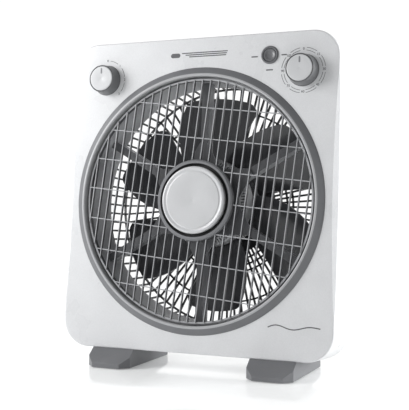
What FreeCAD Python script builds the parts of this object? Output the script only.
import FreeCAD, Part
import math
import os

# Box fan: an upright square body on two feet, leaning back a few degrees.
#
# Body frame, used for every piece but the feet: X to the right, Y to the rear, Z up the face,
# with its origin in the middle of the body's bottom front edge. Lengths are in millimetres.
# The finished frame stands the fan on Z = 0, with the origin under the middle of its box.

V = FreeCAD.Vector

# ---- driving dimensions ----------------------------------------------------------------
duct_radius = 150.0        # bore of the air duct, which sets the fan's size
wall = 2.5                 # moulded wall of both shells and of the duct
side_margin = 14.0         # trim ring to side wall
top_margin = 38.1          # trim ring to top, which holds the controls
bottom_margin = 22.4       # trim ring to bottom
front_depth = 52.0         # front shell, front to back
rear_depth = 28.0          # rear shell, front to back
corner_radius = 34.0
rear_rounding = 18.0
face_rounding = 2.2
waist_width = 5.5          # width on the face of the bevel along each side, at mid height
lean_deg = 4.75
body_lift = 22.3           # floor to the body's bottom front edge

# trim ring
wheel_radius_step = 0.8    # louvre wheel beyond the duct bore
wheel_gap = 2.7            # louvre wheel to trim ring
ring_width = 11.5
ring_rise = 5.0
ring_wall = 2.0            # the trim ring is hollow behind
ring_crest_inset = 1.9     # crest, out from the ring's inner edge

# louvre wheel
slat_pitch = 11.0
slat_thick = 1.1
slat_depth = 4.2
slat_front = -1.0
wheel_depth = 5.5          # rim and hub ring, front to back
tie_pitch = 38.3
tie_count = 7
tie_width = 1.2
rim_width = 2.2
wheel_turn_deg = -6.3      # where the wheel happens to stand
louvre_hub_radius = 50.0
louvre_hub_width = 5.5
louvre_hub_rise = 2.5
cap_radius = 41.5
cap_front = -7.5
louvre_shaft_radius = 3.0
moving_gap = 1.0           # between a turning piece and what stands beside it

# louvre motor
louvre_motor_radius = 25.0
louvre_motor_length = 14.0
louvre_ear_reach = 4.0

# spider
spoke_count = 6
spoke_width = 10.0
spoke_depth = 16.0
spider_plate = 3.0
spider_plate_radius = 50.0
gusset_half_width = 22.0
gusset_reach = 24.0
spoke_step = 4.0           # spoke front behind the hub plate's front

# main motor
motor_radius = 41.0        # stator, outside
shell_wall = 1.5
stack_length = 16.0
stack_bore = 24.0
air_gap = 0.4
winding_reach = 5.0        # end turns beyond the stack
shaft_radius = 4.0
running_gap = 0.05
bush_radius = 6.5
bush_length = 5.0
shell_clearance = 3.5      # end turns to the shells' ends
cover_radius = 56.0
cover_skin = 1.8
slot_count = 16
stator_slot_radius = 3.0
lug_count = 4
pin_radius = 1.5           # pin that drives the impeller
pin_length = 20.0

# impeller
blade_count = 6
tip_gap = 12.0
hub_radius = 55.5
hub_clearance = 2.5        # motor cover to hub
blade_half_rise = 16.0     # half of the blade's travel along the axis
blade_root_deg = 57.0      # angle that a blade covers at the hub
blade_tip_deg = 38.0       # and at its tip
blade_sweep_deg = 16.5     # how far the tip trails the root
blade_camber = 3.0
blade_thick = 2.5
tip_corner = 14.0
blade_start_deg = 44.0     # where the impeller happens to stand

# rear grille
bar_count = 84
bar_width = 2.4
bar_depth = 3.0
basket_flare = 12.0        # basket bore beyond the duct bore
basket_taper = 4.5         # its rear radius is smaller by this
basket_wall = 2.5
collar_reach = 2.0         # solid collar beyond the body's rear
duct_flare_length = 18.0
grille_gap = 15.0          # impeller nut to grille
grille_ring_radii = (127.0, 88.5, 80.5, 72.5)
grille_ear = 2.5           # thickness of the ears that the grille is screwed down by
grille_disc_radius = 64.0

# controls
knob_radius = 19.0
knob_face_radius = 17.0
knob_height = 16.0
knob_drop = 48.2           # top edge to the knobs
speed_inset = 49.0         # left edge to the speed knob
timer_inset = 44.5         # right edge to the timer knob
button_drop = 27.7         # top edge to the button
button_inset = 86.8        # right edge to the button
button_radius = 8.0
button_travel = 3.0
bezel_radius = 11.0
control_standoff = 6.0
control_tab = 1.5          # thickness of the tabs that switch and timer hang on
spindle_radius = 3.0
speed_tab_reach = 20.0
timer_tab_reach = 27.0
timer_case_radius = 21.5
timer_case_depth = 28.0
switch_case_half = 14.0
switch_case_depth = 20.0
button_switch_front = 12.0
button_back = 5.0
stem_radius = 3.0
spring_wire_radius = 0.35
spring_turns = 3

# electrical parts in the bottom corners
board_inset = 54.0         # side edge to the screw that holds each part
board_y = 20.0
board_z = 54.0
lead_radius = 1.8
lead_bend = 7.0
gland_radius = 6.5
gland_bore = 3.4
gland_inset = 59.0         # left edge to the cord gland
gland_z = 26.0
lead_spoke_deg = 210.0     # spoke that the motor lead follows

# feet
foot_width = 58.0
foot_inset = 44.0          # side edge to the foot's outer side
foot_front = -20.0
foot_behind = 29.0         # foot beyond the body's rear
foot_screw_inset = 14.0
foot_rim = 6.0
foot_chamfer = 10.0
pad_radius = 7.0
pad_thick = 2.0
pad_proud = 0.8
front_pad_inset = 13.0
rear_pad_inset = 12.0

# fasteners
screw_radius = 1.5
screw_head_radius = 3.2
screw_head = 2.2
boss_radius = 4.5
corner_boss_inset = 24.0
head_slot_width = 0.8
head_slot_depth = 1.2
fit_gap = 0.2              # between mouldings that slide together
press_gap = 0.02           # between pieces that are pressed together

# ---- derived sizes ---------------------------------------------------------------------
wheel_radius = duct_radius + wheel_radius_step
ring_inner = wheel_radius + wheel_gap
ring_outer = ring_inner + ring_width
body_width = 2 * (ring_outer + side_margin)
body_height = bottom_margin + 2 * ring_outer + top_margin
body_depth = front_depth + rear_depth
fan_z = bottom_margin + ring_outer
half_width = body_width / 2
opening_radius = ring_outer - 5.0

wheel_back = slat_front + wheel_depth
duct_front = wheel_back + 5.5
flange_radius = ring_outer + 9.0
duct_screw_radius = flange_radius - boss_radius
duct_back = body_depth - wall - 1.0
basket_bore = duct_radius + basket_flare
basket_radius = basket_bore + basket_wall
basket_rear_radius = basket_radius - basket_taper
basket_front = duct_back + 0.5

louvre_motor_front = wheel_back + moving_gap
plate_front = louvre_motor_front + louvre_motor_length
plate_back = plate_front + spider_plate
spoke_front = plate_front + spoke_step
spoke_back = spoke_front + spoke_depth

motor_front = plate_back + 3.0
shell_radius = motor_radius + shell_wall
stack_front = motor_front + shell_wall + shell_clearance + winding_reach
stack_back = stack_front + stack_length
motor_back = stack_back + winding_reach + shell_clearance + shell_wall
cage_reach = winding_reach + shell_clearance - bush_length - 0.8
cover_front = motor_front + 0.5
cover_back = stack_back + 2.0

hub_front = cover_back + hub_clearance
blade_middle = hub_front + blade_half_rise
hub_back = hub_front + 2 * blade_half_rise - 3.0
boss_front = motor_back + 3.0
boss_back = hub_back + 4.0
nut_back = boss_back + 12.0
shaft_tip = nut_back - 2.0
tip_radius = duct_radius - tip_gap

bar_front = nut_back + grille_gap
bar_back = bar_front + bar_depth
slot_front = body_depth + collar_reach

speed_x = speed_inset - half_width
timer_x = half_width - timer_inset
speed_z = body_height - knob_drop
button_x = half_width - button_inset
button_z = body_height - button_drop
mount_y = wall + control_standoff
board_x = half_width - board_inset
gland_x = gland_inset - half_width
seat_back = front_depth + 3.0

louvre_ear_x = louvre_motor_radius + louvre_ear_reach
motor_screw_radius = louvre_motor_radius + 6.0
lead_y = spoke_back + lead_radius + fit_gap
lug_radius = shell_radius + 3.0
slot_circle = stack_bore + stator_slot_radius + 2.5
pin_y = boss_front + pin_radius + fit_gap
terminal_top = board_z - 9.8
lead_plane = board_y + 9.0

foot_middle = half_width - foot_inset - foot_width / 2
foot_rear = body_depth + foot_behind
pad_places = (foot_front + front_pad_inset, foot_rear - rear_pad_inset)

lean = math.radians(lean_deg)
reach_back = bar_back * math.cos(lean) + (fan_z + basket_rear_radius) * math.sin(lean)
middle_y = (reach_back + foot_front) / 2


# ---- helpers ---------------------------------------------------------------------------
def turned(profile, x=0.0, z=None):
    """Solid of revolution about the Y-parallel line through (x, z), from (radius, y) points."""
    z = fan_z if z is None else z
    points = [V(x + radius, y, z) for radius, y in profile]
    face = Part.Face(Part.makePolygon(points + points[:1]))
    return face.revolve(V(x, 0, z), V(0, 1, 0), 360)


def rod(radius, y0, y1, x=0.0, z=None):
    z = fan_z if z is None else z
    return Part.makeCylinder(radius, y1 - y0, V(x, y0, z), V(0, 1, 0))


def tube(outer, inner, y0, y1, x=0.0, z=None):
    return turned([(inner, y0), (outer, y0), (outer, y1), (inner, y1)], x, z)


def block(x0, x1, y0, y1, z0, z1):
    return Part.makeBox(x1 - x0, y1 - y0, z1 - z0, V(x0, y0, z0))


def fused(shapes):
    return shapes[0].multiFuse(shapes[1:]).removeSplitter()


def spun(shape, angle_deg):
    """Copy turned about the fan axis, anticlockwise as seen from the front."""
    copy = shape.copy()
    copy.rotate(V(0, 0, fan_z), V(0, -1, 0), angle_deg)
    return copy


def ring_of(shape, count, start_deg=0.0):
    return [spun(shape, start_deg + k * 360.0 / count) for k in range(count)]


def at_angle(radius, angle_deg):
    angle = math.radians(angle_deg)
    return radius * math.cos(angle), fan_z + radius * math.sin(angle)


def rounded_box(inset, y0, y1):
    """The body's outline, inset all round, from y0 to y1."""
    shape = block(inset - half_width, half_width - inset, y0, y1, inset, body_height - inset)
    edges = [e for e in shape.Edges if abs(e.tangentAt(e.FirstParameter).y) > 0.9]
    return shape.makeFillet(corner_radius - inset, edges)


def rounded_rim(shape, y, radius):
    """Round the outer edges that lie in the plane at y."""
    edges = [e for e in shape.Edges if e.BoundBox.YMin > y - 0.01 and e.BoundBox.YMax < y + 0.01]
    return shape.makeFillet(radius, edges)


def waisted(shape, inset):
    """Bevel both front side edges, widest at mid height and running out near the corners."""
    sagitta = waist_width / math.sqrt(2)
    half_chord = body_height / 2 - corner_radius
    radius = (half_chord ** 2 + sagitta ** 2) / (2 * sagitta)
    reach = 4 * waist_width
    for side in (-1, 1):
        out = V(side, -1, 0) * (1 / math.sqrt(2))
        along = V(side, 1, 0) * (1 / math.sqrt(2))
        edge = V(side * half_width, 0, body_height / 2)
        centre = edge + out * (radius - sagitta - inset)
        cutter = Part.makeCylinder(radius, 2 * reach, centre - along * reach, along)
        shape = shape.cut(cutter)
    return shape


def screw(head_at, direction, length, radius=screw_radius, head_radius=screw_head_radius):
    """Pan-head screw: head_at is the seat under the head and direction is where the tip points."""
    shank = Part.makeCylinder(radius, length, head_at, direction)
    head = Part.makeCylinder(head_radius, screw_head, head_at, direction * -1)
    body = shank.fuse(head).removeSplitter()
    across = V(1, 0, 0)
    upright = direction.cross(across)
    top = head_at - direction * screw_head
    for long_way, short_way in ((across, upright), (upright, across)):
        corner = top - long_way * (head_radius * 0.6) - short_way * (head_slot_width / 2)
        slot_length = long_way * (head_radius * 1.2)
        slot = Part.Face(Part.makePolygon([
            corner, corner + slot_length, corner + slot_length + short_way * head_slot_width,
            corner + short_way * head_slot_width, corner])).extrude(direction * head_slot_depth)
        body = body.cut(slot)
    return body


def lead(points, radius, bend):
    """Round lead along straight runs joined by tangent arcs of one bend radius."""
    edges = []
    start = points[0]
    for before, corner, after in zip(points, points[1:], points[2:]):
        into = (corner - before).normalize()
        out = (after - corner).normalize()
        half_turn = into.getAngle(out) / 2
        setback = bend * math.tan(half_turn)
        arc_start = corner - into * setback
        arc_end = corner + out * setback
        inward = (out - into).normalize()
        middle = corner + inward * (bend / math.cos(half_turn) - bend)
        edges.append(Part.makeLine(start, arc_start))
        edges.append(Part.Arc(arc_start, middle, arc_end).toShape())
        start = arc_end
    edges.append(Part.makeLine(start, points[-1]))
    direction = (points[1] - points[0]).normalize()
    section = Part.Wire([Part.makeCircle(radius, points[0], direction)])
    return Part.Wire(edges).makePipeShell([section], True, False)


# ---- body ------------------------------------------------------------------------------
corner_bosses = [(side * (half_width - corner_boss_inset), z) for side in (-1, 1)
                 for z in (corner_boss_inset, body_height - corner_boss_inset)]
duct_bosses = [at_angle(duct_screw_radius, 60.0 * k) for k in range(6)]
grille_screw_radius = basket_radius + 6.0
grille_bosses = [at_angle(grille_screw_radius, 45.0 + 90.0 * k) for k in range(4)]
control_bosses = [(speed_x - speed_tab_reach, speed_z), (speed_x + speed_tab_reach, speed_z),
                  (timer_x - timer_tab_reach, speed_z), (timer_x + timer_tab_reach, speed_z)]
board_bosses = [(side * board_x, board_z) for side in (-1, 1)]
foot_screws = [(side * foot_middle, y) for side in (-1, 1)
               for y in (foot_screw_inset, front_depth - foot_screw_inset)]


def front_housing():
    outer = waisted(rounded_rim(rounded_box(0.0, 0.0, front_depth), 0.0, face_rounding), 0.0)
    cavity = waisted(rounded_box(wall, wall, front_depth + 1.0), wall)
    shape = outer.cut(cavity)
    posts = [rod(boss_radius + 1.0, wall - 0.5, front_depth - 4.0, x, z) for x, z in corner_bosses]
    posts += [rod(boss_radius, wall - 0.5, duct_front, x, z) for x, z in duct_bosses]
    posts += [rod(boss_radius, wall - 0.5, wall + control_standoff, x, z) for x, z in control_bosses]
    posts += [rod(boss_radius, wall - 0.5, board_y, x, z) for x, z in board_bosses]
    posts += [Part.makeCylinder(boss_radius, 12.5, V(x, y, wall - 0.5), V(0, 0, 1))
              for x, y in foot_screws]
    shape = fused([shape] + posts)
    pilot = screw_radius + running_gap
    holes = [rod(pilot, 12.0, front_depth, x, z) for x, z in corner_bosses]
    holes += [rod(pilot, wall, duct_front + 1.0, x, z) for x, z in duct_bosses]
    holes += [rod(pilot, wall, wall + control_standoff + 1.0, x, z) for x, z in control_bosses]
    holes += [rod(pilot, wall + 4.0, board_y + 1.0, x, z) for x, z in board_bosses]
    holes += [Part.makeCylinder(pilot, 13.0, V(x, y, -1.0), V(0, 0, 1)) for x, y in foot_screws]
    holes += [rod(opening_radius, -1.0, wall + 1.0)]
    holes += [rod(spindle_radius + 1.2, -1.0, wall + 1.0, x, speed_z) for x in (speed_x, timer_x)]
    holes += [rod(button_radius + 1.5 + fit_gap, -1.0, wall + 1.0, button_x, button_z)]
    return shape.cut(holes)


def rear_housing():
    outer = rounded_rim(rounded_box(0.0, front_depth, body_depth), body_depth, rear_rounding)
    cavity = rounded_rim(rounded_box(wall, front_depth - 1.0, body_depth - wall),
                         body_depth - wall, rear_rounding - wall)
    lip = rounded_box(wall + fit_gap, front_depth - 3.5, front_depth + 1.5)
    root = rounded_box(wall - 0.5, front_depth, front_depth + 1.5)
    lip = lip.fuse(root).cut(rounded_box(wall + fit_gap + 1.6, front_depth - 4.0, front_depth + 2.0))
    posts = [rod(boss_radius + 2.0, front_depth - 4.0, body_depth - wall + 0.5, x, z)
             for x, z in corner_bosses]
    posts += [rod(boss_radius, body_depth - 12.0, body_depth - wall + 0.5, x, z)
              for x, z in grille_bosses]
    shape = fused([outer.cut(cavity), lip] + posts)
    holes = [rod(screw_radius + 0.6, front_depth - 5.0, body_depth + 1.0, x, z)
             for x, z in corner_bosses]
    holes += [rod(screw_head_radius + 0.6, seat_back, body_depth + 1.0, x, z)
              for x, z in corner_bosses]
    holes += [rod(screw_radius + running_gap, body_depth - 11.0, body_depth + 1.0, x, z)
              for x, z in grille_bosses]
    holes += [rod(basket_radius + fit_gap, body_depth - 2 * wall, body_depth + 1.0)]
    holes += [rod(gland_radius + fit_gap, body_depth - 2 * wall, body_depth + 1.0, gland_x, gland_z)]
    return shape.cut(holes)


def trim_ring():
    crest = ring_inner + ring_crest_inset
    lap = opening_radius - fit_gap
    profile = [(ring_inner, duct_front - 1.0), (ring_inner, 1.0 - ring_rise), (ring_inner + 1.0, -ring_rise),
               (crest + 0.5, -ring_rise), (crest + 2.4, 0.6 - ring_rise), (ring_outer - 1.2, -1.2),
               (ring_outer, 0.0), (lap, 0.0), (lap, wall), (lap - ring_wall, wall),
               (lap - ring_wall, ring_wall + 0.8 - ring_rise),
               (ring_inner + ring_wall, ring_wall - ring_rise), (ring_inner + ring_wall, duct_front - 1.0)]
    return turned(profile)


def air_duct():
    straight = duct_back - duct_flare_length
    mouth = basket_bore - 2.5
    profile = [(duct_radius, duct_front), (flange_radius, duct_front), (flange_radius, duct_front + wall),
               (duct_radius + wall, duct_front + wall), (duct_radius + wall, straight),
               (mouth + wall, duct_back), (mouth, duct_back), (duct_radius, straight)]
    shape = turned(profile)
    holes = [rod(screw_radius + 0.5, duct_front - 1.0, duct_front + wall + 1.0, x, z)
             for x, z in duct_bosses]
    middle = (spoke_front + spoke_back) / 2
    for k in range(spoke_count):
        hole = Part.makeCylinder(screw_radius + 0.5, 2 * wall + 10.0,
                                 V(duct_radius - 5.0, middle, fan_z), V(1, 0, 0))
        holes.append(spun(hole, 90.0 + k * 360.0 / spoke_count))
    lead_hole = Part.makeCylinder(lead_radius + 1.0, 20.0,
                                  V(duct_radius - 5.0, lead_y, fan_z), V(1, 0, 0))
    holes.append(spun(lead_hole, lead_spoke_deg))
    return shape.cut(holes)


# ---- louvre drive ----------------------------------------------------------------------
def louvre_wheel():
    hub_bore = louvre_hub_radius - louvre_hub_width
    bars = []
    half_count = int((wheel_radius - rim_width) / slat_pitch)
    for k in range(-half_count, half_count + 1):
        x = k * slat_pitch
        bars.append(block(x - slat_thick / 2, x + slat_thick / 2, slat_front, slat_front + slat_depth,
                          fan_z - wheel_radius, fan_z + wheel_radius))
    for k in range(tie_count):
        z = fan_z + (k - (tie_count - 1) / 2) * tie_pitch
        bars.append(block(-wheel_radius, wheel_radius, slat_front + 0.7, slat_front + 2.3,
                          z - tie_width / 2, z + tie_width / 2))
    field = tube(wheel_radius - rim_width / 2, louvre_hub_radius - louvre_hub_width / 2,
                 slat_front - 1.0, wheel_back + 1.0)
    grid = fused(bars).common(field)
    rim = tube(wheel_radius, wheel_radius - rim_width, slat_front + 1.5, wheel_back + 2.0)
    crown = slat_front - louvre_hub_rise
    hub = turned([(hub_bore, wheel_back), (hub_bore, crown + 1.2), (hub_bore + 1.2, crown),
                  (louvre_hub_radius - 1.8, crown), (louvre_hub_radius, crown + 1.8),
                  (louvre_hub_radius, wheel_back)])
    web = tube(hub_bore + 1.0, louvre_shaft_radius, wheel_back - 2.5, wheel_back)
    collar = tube(7.0, louvre_shaft_radius, slat_front - 1.0, wheel_back)
    return spun(fused([grid, rim, hub, web, collar]), wheel_turn_deg)


def louvre_hub_cap():
    skirt = cap_radius - 0.8
    profile = [(0, cap_front - 0.6), (cap_radius * 0.6, cap_front - 0.4), (cap_radius - 2.0, cap_front),
               (cap_radius, cap_front + 1.8), (cap_radius, cap_front + 3.5), (skirt, cap_front + 3.5),
               (skirt, wheel_back - 2.5), (skirt - 1.6, wheel_back - 2.5),
               (skirt - 1.6, cap_front + 2.0), (0, cap_front + 1.6)]
    return turned(profile)


def louvre_shaft():
    shape = rod(louvre_shaft_radius, slat_front - 1.0, louvre_motor_front + 6.0)
    return shape.cut(rod(screw_radius, slat_front - 2.0, wheel_back - 0.5))


def louvre_screw():
    return screw(V(0, slat_front - 1.0, fan_z), V(0, 1, 0), wheel_back - 0.5 - slat_front + 0.5,
                 screw_radius, 5.0)


def louvre_motor_case():
    back = plate_front
    can = rod(louvre_motor_radius, louvre_motor_front, back)
    can = can.cut(rod(louvre_motor_radius - 1.0, louvre_motor_front + 3.0, back - 1.0))
    ear = block(-louvre_ear_x, louvre_ear_x, back - 1.5, back, fan_z - 4.0, fan_z + 4.0)
    ends = [rod(4.0, back - 1.5, back, x, fan_z) for x in (-louvre_ear_x, louvre_ear_x)]
    shape = fused([can, ear] + ends)
    holes = [rod(screw_radius + 0.3, back - 2.0, back + 1.0, x, fan_z)
             for x in (-louvre_ear_x, louvre_ear_x)]
    holes.append(rod(louvre_shaft_radius + running_gap, louvre_motor_front - 1.0,
                     louvre_motor_front + 3.5))
    cavity = rod(louvre_motor_radius - 1.0, louvre_motor_front + 3.0, back - 1.0)
    return shape.cut(holes + [cavity])


def louvre_motor_coil():
    inside = louvre_motor_radius - 1.0 - fit_gap
    return tube(inside, inside - 9.0, louvre_motor_front + 4.0, plate_front - 1.5)


def louvre_motor_screws():
    return Part.makeCompound([screw(V(x, plate_front - 1.5, fan_z), V(0, 1, 0), spider_plate + 1.0)
                              for x in (-louvre_ear_x, louvre_ear_x)])


# ---- spider and motor ------------------------------------------------------------------
def motor_spider():
    plate = tube(spider_plate_radius, 9.0, plate_front, plate_back)
    inner = spider_plate_radius - 6.0
    clear = cover_radius + 2.0
    outline = [(inner, plate_front), (spider_plate_radius + 2.0, plate_front),
               (clear + 4.0, spoke_front), (duct_radius - 0.2, spoke_front),
               (duct_radius - 0.2, spoke_back), (clear, spoke_back), (clear, plate_back),
               (inner, plate_back)]
    points = [V(-spoke_width / 2, y, fan_z + radius) for radius, y in outline]
    spoke = Part.Face(Part.makePolygon(points + points[:1])).extrude(V(spoke_width, 0, 0))
    gusset_points = [(-gusset_half_width, spider_plate_radius - 6.0),
                     (gusset_half_width, spider_plate_radius - 6.0),
                     (spoke_width / 2 - 0.5, spider_plate_radius + gusset_reach),
                     (0.5 - spoke_width / 2, spider_plate_radius + gusset_reach)]
    gusset_points = [V(x, plate_back - 2.5, fan_z + radius) for x, radius in gusset_points]
    gusset = Part.Face(Part.makePolygon(gusset_points + gusset_points[:1])).extrude(V(0, 2.5, 0))
    arm = spoke.fuse(gusset)
    pilot = Part.makeCylinder(screw_radius + running_gap, 12.0,
                              V(0, (spoke_front + spoke_back) / 2, fan_z + duct_radius - 10.0))
    arm = arm.cut(pilot)
    standoff = tube(boss_radius, screw_radius + 0.3, plate_back - 0.5, motor_front)
    standoff.translate(V(motor_screw_radius, 0, 0))
    shape = fused([plate] + ring_of(arm, spoke_count) + ring_of(standoff, 4, 45.0))
    holes = [rod(screw_radius + 0.3, plate_front - 1.0, motor_front, *at_angle(motor_screw_radius, a))
             for a in (45.0, 135.0, 225.0, 315.0)]
    holes += [rod(screw_radius + running_gap, plate_front - 1.0, plate_back + 1.0, x, fan_z)
              for x in (-louvre_ear_x, louvre_ear_x)]
    return shape.cut(holes)


def spider_screws():
    middle = (spoke_front + spoke_back) / 2
    one = screw(V(0, middle, fan_z + duct_radius + wall), V(0, 0, -1), wall + 8.0)
    return Part.makeCompound(ring_of(one, spoke_count))


def motor_cover():
    """Bell over the motor, with fine cooling slots round its shoulder."""
    skin = cover_skin
    shoulder = cover_front + 11.0
    outside = [(spider_plate_radius - 3.0, cover_front), (cover_radius, shoulder),
               (cover_radius, cover_back)]
    inside = [(cover_radius - skin, cover_back), (cover_radius - skin, shoulder + 0.6),
              (spider_plate_radius - 4.0, cover_front + skin), (shell_radius + 0.2, cover_front + skin),
              (shell_radius + 0.2, cover_front)]
    shape = turned(outside + inside)
    slot = block(spider_plate_radius - 1.5, cover_radius + 1.0, cover_front + 3.0, shoulder - 1.5,
                 fan_z - 0.9, fan_z + 0.9)
    slots = []
    for k in range(spoke_count):
        for j in range(-4, 5):
            slots.append(spun(slot, k * 60.0 + j * 4.0))
    foot_block = block(shell_radius + press_gap, shell_radius + 4.0, cover_front, cover_front + skin,
                       fan_z - 5.0, fan_z + 5.0)
    notch = rod(lead_radius + 1.2, spoke_back - 4.0, cover_back + 1.0, 0.0, 0.0)
    x, z = at_angle(cover_radius - 1.0, lead_spoke_deg)
    notch.translate(V(x, 0, z))
    return fused([shape] + ring_of(foot_block, 4)).cut(slots + [notch])


def shell_lugs(y0, y1):
    lug = rod(3.6, y0, y1, lug_radius, fan_z)
    neck = block(shell_radius - 1.0, lug_radius, y0, y1, fan_z - 3.0, fan_z + 3.0)
    return ring_of(lug.fuse(neck), 4, 22.5)


def shell_holes(y0, y1, radius):
    return ring_of(rod(radius, y0, y1, lug_radius, fan_z), 4, 22.5)


def motor_front_shell():
    web = motor_front + shell_wall
    wall_end = stack_front + 4.0
    bore = motor_radius + running_gap
    profile = [(bush_radius - 2.0, motor_front), (shell_radius, motor_front), (shell_radius, wall_end),
               (bore, wall_end), (bore, web), (bush_radius + 2.0, web),
               (bush_radius + 2.0, web + bush_length), (bush_radius, web + bush_length),
               (bush_radius, web), (bush_radius - 2.0, web)]
    shape = fused([turned(profile)] + shell_lugs(wall_end - 2.5, wall_end))
    holes = shell_holes(wall_end - 3.5, wall_end + 1.0, screw_radius + 0.3)
    holes += ring_of(rod(screw_radius + running_gap, motor_front - 1.0, web + 1.0,
                         motor_screw_radius, fan_z), 4, 45.0)
    vent = block(16.0, 26.0, motor_front - 1.0, web + 0.5, fan_z - 3.0, fan_z + 3.0)
    holes += ring_of(vent, 8, 22.5)
    return shape.cut(holes)


def motor_rear_shell():
    web = motor_back - shell_wall
    wall_start = stack_back - 4.0
    bore = motor_radius + running_gap
    profile = [(shaft_radius + 1.0, motor_back), (shell_radius, motor_back), (shell_radius, wall_start),
               (bore, wall_start), (bore, web), (bush_radius + 2.0, web),
               (bush_radius + 2.0, web - bush_length), (bush_radius, web - bush_length),
               (bush_radius, web), (shaft_radius + 1.0, web)]
    shape = fused([turned(profile)] + shell_lugs(wall_start, wall_start + 2.5))
    holes = shell_holes(wall_start - 1.0, wall_start + 3.5, screw_radius + running_gap)
    vent = block(16.0, 26.0, web - 0.5, motor_back + 1.0, fan_z - 3.0, fan_z + 3.0)
    holes += ring_of(vent, 8, 22.5)
    return shape.cut(holes)


def stator_core():
    shape = tube(motor_radius, stack_bore, stack_front, stack_back)
    slot = rod(stator_slot_radius, stack_front - 1.0, stack_back + 1.0, slot_circle, fan_z)
    mouth = block(stack_bore - 1.0, slot_circle, stack_front - 1.0, stack_back + 1.0,
                  fan_z - 0.8, fan_z + 0.8)
    return shape.cut(ring_of(slot.fuse(mouth), slot_count))


def stator_windings():
    inner, outer = slot_circle - stator_slot_radius, slot_circle + stator_slot_radius + 3.0
    shapes = []
    for y0, y1 in ((stack_front - winding_reach, stack_front - 0.4),
                   (stack_back + 0.4, stack_back + winding_reach)):
        shapes.append(turned([(inner, y0 + 1.2), (inner + 1.5, y0), (outer - 1.5, y0), (outer, y0 + 1.2),
                              (outer, y1 - 1.0), (outer - 1.5, y1), (inner + 1.5, y1),
                              (inner, y1 - 1.0)]))
    wire = rod(stator_slot_radius - fit_gap, stack_front - 1.0, stack_back + 1.0, slot_circle, fan_z)
    return fused(shapes + ring_of(wire, slot_count))


def rotor_core():
    outside = stack_bore - air_gap
    cage = outside - 4.0
    front, back = stack_front - cage_reach, stack_back + cage_reach
    return turned([(shaft_radius, front), (cage, front), (cage, stack_front), (outside, stack_front),
                   (outside, stack_back), (cage, stack_back), (cage, back), (shaft_radius, back)])


def motor_shaft():
    shape = rod(shaft_radius, motor_front + shell_wall + 0.5, shaft_tip)
    return shape.cut(drive_pin())


def front_bushing():
    y0 = motor_front + shell_wall
    return tube(bush_radius, shaft_radius + running_gap, y0 + 0.2, y0 + bush_length)


def rear_bushing():
    y1 = motor_back - shell_wall
    return tube(bush_radius, shaft_radius + running_gap, y1 - bush_length, y1 - 0.2)


def motor_screws():
    y0, y1 = stack_front + 1.5, stack_back - 1.5
    one = screw(V(lug_radius, y0, fan_z), V(0, 1, 0), y1 - y0, screw_radius, 2.6)
    return Part.makeCompound(ring_of(one, 4, 22.5))


def motor_mount_screws():
    one = screw(V(motor_screw_radius, plate_front, fan_z), V(0, 1, 0),
                motor_front + shell_wall + 1.0 - plate_front)
    return Part.makeCompound(ring_of(one, 4, 45.0))


# ---- impeller --------------------------------------------------------------------------
def drive_pin():
    return Part.makeCylinder(pin_radius, pin_length, V(-pin_length / 2, pin_y, fan_z), V(1, 0, 0))


def blade_point(radius, angle_deg):
    x, z = at_angle(radius, angle_deg)
    return V(x, hub_front - 5.0, z)


def blade_sheet():
    """Twisted, cambered sheet, wider all round than the blade that is trimmed out of it."""
    stations = 6
    inner, outer = hub_radius - 4.0, tip_radius + 8.0
    sections = []
    for k in range(stations):
        radius = inner + (outer - inner) * k / (stations - 1)
        share = (radius - hub_radius) / (tip_radius - hub_radius)
        cover = math.radians(blade_root_deg + (blade_tip_deg - blade_root_deg) * share)
        half_chord = radius * cover / 2
        slope = blade_half_rise / half_chord
        reach = half_chord + 4.0
        low, high = blade_middle - reach * slope, blade_middle + reach * slope
        edges = []
        for lift in (-blade_thick / 2, blade_thick / 2):
            edges.append((V(radius, high + lift, fan_z - reach),
                          V(radius, blade_middle + blade_camber + lift, fan_z),
                          V(radius, low + lift, fan_z + reach)))
        front, back = edges
        wire = Part.Wire([Part.Arc(*front).toShape(), Part.makeLine(front[2], back[2]),
                          Part.Arc(*reversed(back)).toShape(), Part.makeLine(back[0], front[0])])
        wire.rotate(V(0, 0, fan_z), V(0, -1, 0), -blade_sweep_deg * share)
        sections.append(wire)
    return Part.makeLoft(sections, True, False)


def blade():
    """One blade: the sheet inside the outline that the blade has from the front."""
    root, tip = hub_radius - 6.0, tip_radius
    middle = (root + tip) / 2
    half_sweep = blade_sweep_deg / 2
    low_root, high_root = [blade_point(root, side * blade_root_deg / 2) for side in (-1, 1)]
    low_tip, high_tip = [blade_point(tip, side * blade_tip_deg / 2 - blade_sweep_deg) for side in (-1, 1)]
    mean = (blade_root_deg + blade_tip_deg) / 4
    low_middle, high_middle = [blade_point(middle, side * mean - half_sweep + bow)
                               for side, bow in ((-1, -1.0), (1, 2.0))]
    outline = Part.Wire([Part.Arc(low_root, low_middle, low_tip).toShape(),
                         Part.Arc(low_tip, blade_point(tip, -blade_sweep_deg), high_tip).toShape(),
                         Part.Arc(high_tip, high_middle, high_root).toShape(),
                         Part.makeLine(high_root, low_root)])
    prism = Part.Face(outline).extrude(V(0, 4 * blade_half_rise, 0))
    tip_edges = [e for e in prism.Edges if abs(e.tangentAt(e.FirstParameter).y) > 0.9
                 and (e.CenterOfMass - V(0, e.CenterOfMass.y, fan_z)).Length > tip - 1.0]
    return blade_sheet().common(prism.makeFillet(tip_corner, tip_edges))


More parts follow.
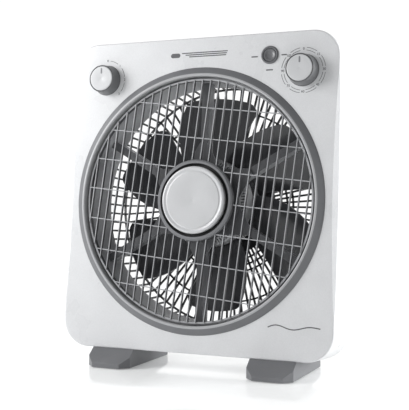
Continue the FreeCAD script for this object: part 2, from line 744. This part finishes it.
def impeller():
    skin = 2.4
    bore = shaft_radius + press_gap
    hub = turned([(hub_radius, hub_front), (hub_radius, hub_back - 5.0), (hub_radius - 5.0, hub_back),
                  (10.0, hub_back), (9.0, boss_back), (bore, boss_back), (bore, boss_front),
                  (9.0, boss_front), (9.0, hub_back - skin), (hub_radius - 5.5, hub_back - skin),
                  (hub_radius - skin, hub_back - 5.5), (hub_radius - skin, hub_front)])
    rib = block(8.0, hub_radius - 1.0, hub_back - 9.0, hub_back - 1.0, fan_z - 0.9, fan_z + 0.9)
    inside = tube(hub_radius - 1.0, bore, hub_front, hub_back)
    blades = ring_of(blade(), blade_count, blade_start_deg)
    shape = fused([hub] + blades + [r.common(inside) for r in ring_of(rib, blade_count)])
    core = rod(hub_radius - skin - 0.5, hub_front - 10.0, hub_back - 9.5)
    core = core.cut(rod(9.0, hub_front - 11.0, hub_back))
    seat = block(-pin_length / 2 - fit_gap, pin_length / 2 + fit_gap, boss_front - 1.0,
                 pin_y + pin_radius + 0.1, fan_z - pin_radius - 0.1, fan_z + pin_radius + 0.1)
    return shape.cut([core, seat, rod(bore, boss_front - 1.0, boss_back + 1.0)])


def impeller_nut():
    bore = shaft_radius + press_gap
    body = turned([(bore, boss_back), (13.0, boss_back), (12.0, nut_back - 2.0), (10.0, nut_back),
                   (0.0, nut_back), (0.0, shaft_tip), (bore, shaft_tip)])
    groove = Part.makeCylinder(1.4, nut_back - boss_back + 2.0, V(13.4, boss_back - 1.0, fan_z), V(0, 1, 0))
    return body.cut(ring_of(groove, 10))


# ---- rear grille -----------------------------------------------------------------------
def rear_grille():
    collar = tube(basket_radius, basket_bore, basket_front, slot_front)
    bead = tube(basket_radius + 2.5, basket_bore, body_depth, slot_front)
    half = bar_width / 2
    radial = block(grille_disc_radius - 2.0, basket_rear_radius - 0.6, bar_front + 0.4, bar_back,
                   fan_z - half, fan_z + half)
    front, rear = basket_radius - 0.6, basket_rear_radius - 0.6
    outline = [V(radius, y, fan_z - half) for radius, y in
               ((front - 1.6, slot_front - 1.0), (front, slot_front - 1.0), (rear, bar_back),
                (rear - 1.6, bar_back))]
    upright = Part.Face(Part.makePolygon(outline + outline[:1])).extrude(V(0, 0, bar_width))
    bars = ring_of(radial, bar_count) + ring_of(upright, bar_count)
    rings = [tube(basket_rear_radius, basket_rear_radius - basket_wall, bar_front, bar_back)]
    rings += [tube(radius + 1.1, radius - 1.1, bar_front, bar_back - 0.4) for radius in grille_ring_radii]
    disc = turned([(0.0, bar_front), (grille_disc_radius, bar_front), (grille_disc_radius, bar_back),
                   (grille_disc_radius - 6.0, bar_back + 2.0), (0.0, bar_back + 2.5)])
    ears = [rod(5.0, body_depth, body_depth + grille_ear, x, z) for x, z in grille_bosses]
    shape = fused([collar, bead, disc] + rings + bars + ears)
    holes = [rod(screw_radius + 0.3, body_depth - 1.0, body_depth + 4.0, x, z) for x, z in grille_bosses]
    return shape.cut(holes)


def grille_screws():
    return Part.makeCompound([screw(V(x, body_depth + grille_ear, z), V(0, -1, 0), 11.0)
                              for x, z in grille_bosses])


def housing_screws():
    return Part.makeCompound([screw(V(x, seat_back, z), V(0, -1, 0), 22.0) for x, z in corner_bosses])


def duct_screws():
    return Part.makeCompound([screw(V(x, duct_front + wall, z), V(0, -1, 0), 9.0)
                              for x, z in duct_bosses])


# ---- controls --------------------------------------------------------------------------
def knob(x):
    face_seat = 1.4 - knob_height
    skin = 2.0
    bore = spindle_radius + press_gap
    inner = knob_face_radius - 0.9
    return turned([(0.0, face_seat + 2.4), (bore, face_seat + 2.4), (bore, -0.8), (6.0, -0.8),
                   (6.0, face_seat + skin), (knob_face_radius - skin, face_seat + skin),
                   (knob_radius - skin, -0.8), (knob_radius, -0.8),
                   (knob_face_radius + 0.3, 0.9 - knob_height), (inner + 0.5, 0.2 - knob_height),
                   (inner, 0.2 - knob_height), (inner, face_seat), (0.0, face_seat)], x, speed_z)


def knob_face(x):
    """Disc let into the knob's front, with a pointer groove."""
    face_seat = 1.4 - knob_height
    radius = knob_face_radius - 0.9
    disc = turned([(0.0, face_seat), (radius, face_seat), (radius, 0.6 - knob_height),
                   (radius - 0.8, -knob_height), (0.0, -knob_height)], x, speed_z)
    groove = block(x - 1.0, x + 1.0, -knob_height - 0.5, 0.5 - knob_height,
                   speed_z + 6.0, speed_z + knob_face_radius - 3.5)
    return disc.cut(groove)


def spindle(x):
    return rod(spindle_radius, 3.8 - knob_height, mount_y + 7.0, x, speed_z)


def control_body(x, core, tab_reach):
    """Switch or timer: a body behind the face, hung on two tabs."""
    tab_half = 5.0
    tab_back = mount_y + control_tab
    tabs = block(x - tab_reach, x + tab_reach, mount_y, tab_back, speed_z - tab_half, speed_z + tab_half)
    ends = [rod(tab_half, mount_y, tab_back, x + side * tab_reach, speed_z) for side in (-1, 1)]
    neck = rod(5.5, wall + 0.8, mount_y + 1.0, x, speed_z)
    shape = fused([core, tabs, neck] + ends)
    holes = [rod(screw_radius + 0.3, mount_y - 1.0, mount_y + 2.5, x + side * tab_reach, speed_z)
             for side in (-1, 1)]
    holes.append(rod(spindle_radius + running_gap, wall - 1.0, mount_y + 7.5, x, speed_z))
    return shape.cut(holes)


def speed_switch():
    half = switch_case_half
    core = block(speed_x - half, speed_x + half, mount_y, mount_y + switch_case_depth,
                 speed_z - half, speed_z + half)
    return control_body(speed_x, core, speed_tab_reach)


def timer():
    core = rod(timer_case_radius, mount_y, mount_y + timer_case_depth, timer_x, speed_z)
    return control_body(timer_x, core, timer_tab_reach)


def control_screws():
    return Part.makeCompound([screw(V(x, mount_y + control_tab, z), V(0, -1, 0), control_standoff)
                              for x, z in control_bosses])


def button():
    rest = -1.0
    stem_back = button_switch_front + 2.0
    return turned([(0.0, rest + 1.4), (3.5, rest + 1.1), (button_radius - 1.6, rest),
                   (button_radius - 0.5, rest), (button_radius, rest + 0.5),
                   (button_radius, button_back), (stem_radius, button_back), (stem_radius, stem_back),
                   (0.0, stem_back)], button_x, button_z)


def button_bezel():
    bore = button_radius + 0.3
    spigot = button_radius + 1.5
    return turned([(bore, 6.5), (bore, -1.0), (bore + 0.8, -1.8), (bezel_radius - 1.2, -1.8),
                   (bezel_radius, -0.8), (bezel_radius, 0.0), (spigot, 0.0), (spigot, wall),
                   (spigot + 0.8, wall + 0.4), (spigot, 6.5)], button_x, button_z)


def button_spring():
    """Return spring as it is when the button is home: half turns that each climb half a pitch."""
    radius = stem_radius + 1.2
    space = button_switch_front - button_back - button_travel
    rise = (space - 2 * spring_wire_radius - 2 * fit_gap) / (4 * spring_turns)
    first = button_switch_front - space + spring_wire_radius + fit_gap
    centre = V(button_x, 0, button_z)
    arcs = []
    for k in range(2 * spring_turns):
        side = 1 - 2 * (k % 2)
        y = first + 2 * k * rise
        arcs.append(Part.Arc(centre + V(side * radius, y, 0),
                             centre + V(0, y + rise, side * math.hypot(radius, rise)),
                             centre + V(-side * radius, y + 2 * rise, 0)).toShape())
    section = Part.Wire([Part.makeCircle(spring_wire_radius, centre + V(radius, first, 0), V(0, 0, 1))])
    return Part.Wire(arcs).makePipeShell([section], True, False)


def button_switch():
    core = block(button_x - 8.0, button_x + 8.0, button_switch_front, button_switch_front + 18.0,
                 button_z - 8.0, button_z + 8.0)
    bore = rod(stem_radius + running_gap, button_switch_front - 1.0, button_switch_front + 6.0,
               button_x, button_z)
    legs = []
    for side in (-1, 1):
        x = button_x + side * 10.5
        legs.append(block(min(x - 2.5, x + 2.5), max(x - 2.5, x + 2.5), wall, button_switch_front + 6.0,
                          button_z - 6.0, button_z + 6.0))
    clear = rod(button_radius + 1.5 + 1.2, wall - 1.0, 7.0, button_x, button_z)
    return fused([core] + legs).cut([bore, clear])


# ---- electrical parts in the body ------------------------------------------------------
def board_body(side, width, depth, height, corner):
    x, z = side * board_x, board_z
    core = block(x - width / 2, x + width / 2, board_y, board_y + depth, z - 10.0 - height, z - 10.0)
    if corner:
        edges = [e for e in core.Edges if abs(e.tangentAt(e.FirstParameter).x) > 0.9]
        core = core.makeFillet(corner, edges)
    tab = block(x - 6.0, x + 6.0, board_y, board_y + 2.0, z - 12.0, z + 6.0)
    shape = core.fuse(tab).removeSplitter()
    return shape.cut(rod(screw_radius + 0.3, board_y - 1.0, board_y + 3.0, x, z))


def run_capacitor():
    return board_body(1, 38.0, 16.0, 24.0, 3.0)


def terminal_block():
    shape = board_body(-1, 34.0, 14.0, 14.0, 0.0)
    wells = [rod(3.2, board_y + 7.0, board_y + 15.0, k * 10.0 - board_x, board_z - 17.0)
             for k in (-1, 0, 1)]
    return shape.cut(wells)


def board_screws():
    return Part.makeCompound([screw(V(x, board_y + 2.0, z), V(0, -1, 0), 10.0) for x, z in board_bosses])


def cord_gland():
    """Bush in the rear wall that the mains cord would come out of."""
    return turned([(gland_bore, body_depth - wall - 6.0), (gland_radius, body_depth - wall - 6.0),
                   (gland_radius, body_depth), (gland_radius + 2.5, body_depth),
                   (gland_radius + 2.0, body_depth + 2.0), (gland_bore + 1.0, body_depth + 2.0),
                   (gland_bore, body_depth + 1.0)], gland_x, gland_z)


def motor_lead():
    """From the motor, behind the lower left spoke, through the duct and down to the terminals."""
    turn = math.radians(lead_spoke_deg)
    outward = V(math.cos(turn), 0, math.sin(turn))
    centre = V(0, lead_y, fan_z)
    outside = centre + outward * (duct_radius + wall + 9.0)
    points = [centre + outward * (shell_radius + 1.0), outside,
              V(8.0 - board_x, lead_plane, terminal_top + 22.0), V(8.0 - board_x, lead_plane, terminal_top)]
    return lead(points, lead_radius, lead_bend)


def supply_lead():
    """From the terminals up the left side to the speed switch."""
    x = 6.5 + wall - half_width
    y = mount_y + 12.0
    switch_foot = speed_z - switch_case_half - fit_gap
    terminal_x = -9.0 - board_x
    points = [V(terminal_x, lead_plane, terminal_top), V(terminal_x, lead_plane, terminal_top + 12.0),
              V(x, lead_plane, terminal_top + 40.0), V(x, y, switch_foot - 40.0),
              V(speed_x - 8.0, y, switch_foot - 16.0), V(speed_x - 8.0, y, switch_foot)]
    return lead(points, lead_radius, lead_bend)


def timer_lead():
    """From the speed switch across the top to the timer."""
    z = body_height - wall - 9.0
    y = mount_y + 12.0
    points = [V(speed_x, y, speed_z + switch_case_half + fit_gap), V(speed_x, y, z), V(timer_x, y, z),
              V(timer_x, y, speed_z + timer_case_radius + fit_gap)]
    return lead(points, lead_radius, lead_bend)


# ---- feet ------------------------------------------------------------------------------
def leaned(shape):
    """Lean a piece that is drawn in the body frame, and stand it at its height."""
    copy = shape.copy()
    copy.rotate(V(0, 0, 0), V(1, 0, 0), -lean_deg)
    copy.translate(V(0, -middle_y, body_lift))
    return copy


def underside(y):
    """Height of the body's flat bottom above the floor, at a distance y behind its front edge."""
    return body_lift - y * math.tan(lean)


def foot(side):
    middle = side * foot_middle
    bearing_end = (body_depth - rear_rounding) * math.cos(lean)
    outline = [(foot_front, pad_proud), (foot_front, foot_rim), (1.2, underside(1.2)),
               (bearing_end, underside(bearing_end)), (foot_rear, foot_rim + 3.0), (foot_rear, pad_proud)]
    points = [V(middle - foot_width / 2, y, z) for y, z in outline]
    shape = Part.Face(Part.makePolygon(points + points[:1])).extrude(V(foot_width, 0, 0))
    corners = [e for e in shape.Edges if abs(e.tangentAt(e.FirstParameter).z) > 0.99]
    shape = shape.makeChamfer(foot_chamfer, corners)
    shape.translate(V(0, -middle_y, 0))
    hollow = leaned(block(middle - foot_width / 2 + 4.0, middle + foot_width / 2 - 4.0,
                          6.0, foot_rear - 30.0, -60.0, -3.0))
    holes = [leaned(Part.makeCylinder(screw_radius + 0.4, 10.0, V(x, y, -6.0)))
             for x, y in foot_screws if x * side > 0]
    holes += [Part.makeCylinder(pad_radius + 0.1, pad_thick - pad_proud + 1.0,
                                V(middle, y - middle_y, pad_proud - 1.0)) for y in pad_places]
    return shape.cut([hollow] + holes)


def foot_pads(side):
    middle = side * foot_middle
    return Part.makeCompound([Part.makeCylinder(pad_radius, pad_thick, V(middle, y - middle_y, 0))
                              for y in pad_places])


def foot_screw_set():
    return Part.makeCompound([screw(V(x, y, -3.0), V(0, 0, 1), 12.0) for x, y in foot_screws])


# ---- all the pieces --------------------------------------------------------------------
body_pieces = {
    "front_housing": front_housing,
    "rear_housing": rear_housing,
    "trim_ring": trim_ring,
    "air_duct": air_duct,
    "louvre_wheel": louvre_wheel,
    "louvre_hub_cap": louvre_hub_cap,
    "louvre_shaft": louvre_shaft,
    "louvre_screw": louvre_screw,
    "louvre_motor_case": louvre_motor_case,
    "louvre_motor_coil": louvre_motor_coil,
    "louvre_motor_screws": louvre_motor_screws,
    "motor_spider": motor_spider,
    "spider_screws": spider_screws,
    "motor_cover": motor_cover,
    "motor_front_shell": motor_front_shell,
    "motor_rear_shell": motor_rear_shell,
    "stator_core": stator_core,
    "stator_windings": stator_windings,
    "rotor_core": rotor_core,
    "motor_shaft": motor_shaft,
    "front_bushing": front_bushing,
    "rear_bushing": rear_bushing,
    "motor_screws": motor_screws,
    "motor_mount_screws": motor_mount_screws,
    "impeller": impeller,
    "impeller_nut": impeller_nut,
    "drive_pin": drive_pin,
    "rear_grille": rear_grille,
    "grille_screws": grille_screws,
    "housing_screws": housing_screws,
    "duct_screws": duct_screws,
    "speed_knob": lambda: knob(speed_x),
    "speed_knob_face": lambda: knob_face(speed_x),
    "speed_spindle": lambda: spindle(speed_x),
    "speed_switch": speed_switch,
    "timer_knob": lambda: knob(timer_x),
    "timer_knob_face": lambda: knob_face(timer_x),
    "timer_spindle": lambda: spindle(timer_x),
    "timer": timer,
    "control_screws": control_screws,
    "louvre_button": button,
    "button_bezel": button_bezel,
    "button_spring": button_spring,
    "button_switch": button_switch,
    "run_capacitor": run_capacitor,
    "terminal_block": terminal_block,
    "board_screws": board_screws,
    "cord_gland": cord_gland,
    "motor_lead": motor_lead,
    "supply_lead": supply_lead,
    "timer_lead": timer_lead,
    "foot_screws": foot_screw_set,
}
floor_pieces = {
    "left_foot": lambda: foot(-1),
    "right_foot": lambda: foot(1),
    "left_foot_pads": lambda: foot_pads(-1),
    "right_foot_pads": lambda: foot_pads(1),
}

os.makedirs("parts", exist_ok=True)
for name, make in body_pieces.items():
    leaned(make()).exportStep("parts/" + name + ".step")
for name, make in floor_pieces.items():
    make().exportStep("parts/" + name + ".step")
